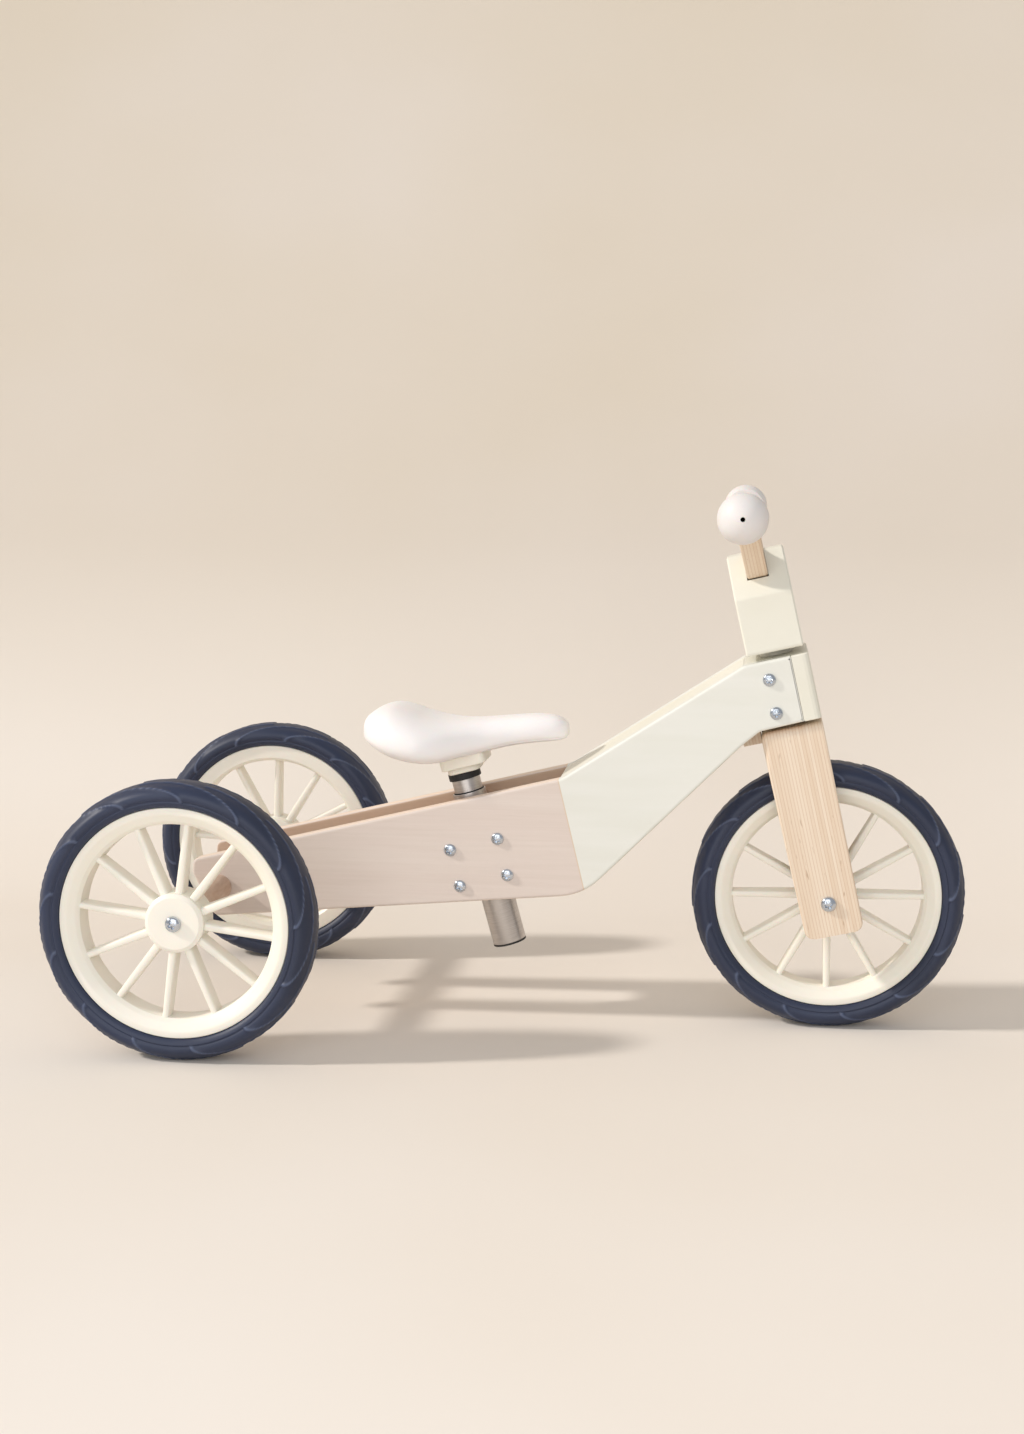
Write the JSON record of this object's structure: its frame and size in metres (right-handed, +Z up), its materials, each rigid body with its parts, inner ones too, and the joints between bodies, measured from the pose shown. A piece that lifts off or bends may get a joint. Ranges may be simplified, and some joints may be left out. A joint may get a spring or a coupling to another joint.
{
  "type": "balance bike",
  "caption": "Wooden balance bike in trike layout: plywood side panels, raked laminated fork and bar, spoked wheels with foam tyres, saddle on a sliding post.",
  "frame": {"origin": "on the ground, midway between the front and rear axles, on the middle plane", "axes": "+X forward, +Y to the rider's left, +Z up"},
  "size_m": [0.82, 0.4024, 0.4994],
  "materials": {
    "washed_wood": "whitewashed birch plywood, satin",
    "laminated_wood": "clear-lacquered laminated veneer, satin",
    "cream_paint": "cream paint on wood, satin",
    "cream_plastic": "moulded cream plastic, satin",
    "foam_tyre": "navy foam rubber, matt",
    "white_rubber": "soft white moulded rubber, satin",
    "black_rubber": "black rubber, matt",
    "nylon": "natural nylon, satin",
    "zinc": "bright zinc plate",
    "post_metal": "silver-grey satin tube"
  },
  "bodies": {
    "frame": {"side_panel_right": "washed_wood", "side_panel_left": "washed_wood", "seat_screw_right_1": "zinc", "seat_screw_right_2": "zinc", "seat_screw_right_3": "zinc", "seat_screw_right_4": "zinc", "seat_screw_left_1": "zinc", "seat_screw_left_2": "zinc", "seat_screw_left_3": "zinc", "seat_screw_left_4": "zinc", "head_screw_right_1": "zinc", "head_screw_right_2": "zinc", "head_screw_left_1": "zinc", "head_screw_left_2": "zinc", "front_core": "cream_paint", "head_block": "cream_paint", "head_bush_lower": "nylon", "head_bush_upper": "nylon", "axle_beam": "washed_wood", "seat_block": "washed_wood", "seat_sleeve": "post_metal", "sleeve_end_ring": "black_rubber", "post_bush": "black_rubber", "seat_lock_screw": "zinc", "rear_axle_bolt_right": "zinc", "rear_axle_bolt_left": "zinc", "rear_axle_spacer_right": "cream_plastic", "rear_axle_spacer_left": "cream_plastic"},
    "seat": {"seat_post": "post_metal", "seal_ring": "black_rubber", "saddle_bracket": "cream_plastic", "saddle": "white_rubber"},
    "steering": {"fork": "laminated_wood", "steering_stop_lug": "laminated_wood", "steering_bolt": "zinc", "stem_insert": "zinc", "stem_block": "cream_paint", "stem_screw_right": "zinc", "stem_screw_left": "zinc", "handlebar": "laminated_wood", "grip_right": "white_rubber", "grip_left": "white_rubber", "front_axle_spacer_left": "cream_plastic", "front_axle_spacer_right": "cream_plastic", "front_axle_bolt": "zinc", "front_axle_nut": "zinc"},
    "front_wheel": {"front_tyre": "foam_tyre", "front_rim": "cream_plastic", "front_bearing_outer": "zinc", "front_bearing_inner": "zinc"},
    "rear_wheel_right": {"rear_right_tyre": "foam_tyre", "rear_right_rim": "cream_plastic", "rear_right_bearing_outer": "zinc", "rear_right_bearing_inner": "zinc"},
    "rear_wheel_left": {"rear_left_tyre": "foam_tyre", "rear_left_rim": "cream_plastic", "rear_left_bearing_outer": "zinc", "rear_left_bearing_inner": "zinc"}
  },
  "joints": [
    {"name": "steer", "type": "hinge", "parent": "frame", "child": "steering", "pos_m": [0.285, 0, 0.125], "axis": [-0.2215, 0, 0.9751], "range_deg": [-25, 25]},
    {"name": "front_wheel_spin", "type": "hinge", "parent": "steering", "child": "front_wheel", "pos_m": [0.285, 0, 0.125], "axis": [0, 1, 0], "continuous": true},
    {"name": "rear_wheel_right_spin", "type": "hinge", "parent": "frame", "child": "rear_wheel_right", "pos_m": [-0.285, -0.17, 0.125], "axis": [0, 1, 0], "continuous": true},
    {"name": "rear_wheel_left_spin", "type": "hinge", "parent": "frame", "child": "rear_wheel_left", "pos_m": [-0.285, 0.17, 0.125], "axis": [0, 1, 0], "continuous": true},
    {"name": "seat_height", "type": "slide", "parent": "frame", "child": "seat", "axis": [-0.2571, 0, 0.9664], "range_m": [-0.008, 0.065]}
  ]
}
